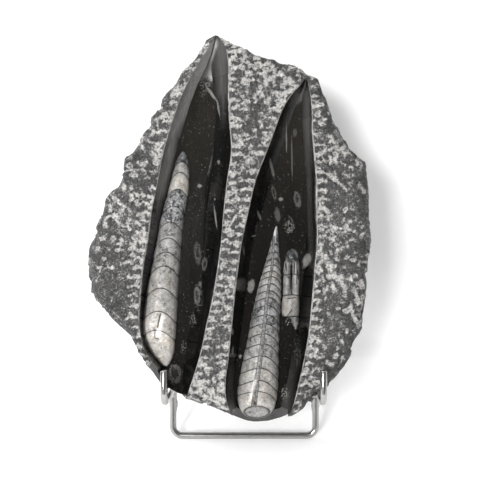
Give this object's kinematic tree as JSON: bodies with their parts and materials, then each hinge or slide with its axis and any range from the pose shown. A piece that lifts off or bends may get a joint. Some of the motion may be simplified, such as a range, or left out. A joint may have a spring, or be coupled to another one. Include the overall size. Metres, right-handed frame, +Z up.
{
  "type": "fossil plate on stand",
  "caption": "Rough dark limestone plate with pointed polished channels that hold straight cone-shaped fossil shells, leaning on a bent wire stand.",
  "frame": {"origin": "on the table, under the middle of the object's bounding box", "axes": "+Z up, -Y the side that the slab's face looks to, +X to the right seen from the front"},
  "size_m": [0.1668, 0.1267, 0.2417],
  "materials": {
    "limestone": "rough pecked face, polished channels",
    "calcite": "polished",
    "wire": "bright nickel plate"
  },
  "bodies": {
    "root": {"matrix": "limestone", "orthoceras_left": "calcite", "orthoceras_right": "calcite", "orthoceras_fragment": "calcite", "stand_front": "wire", "stand_back_rest": "wire", "stand_rear_leg": "wire"}
  },
  "joints": []
}
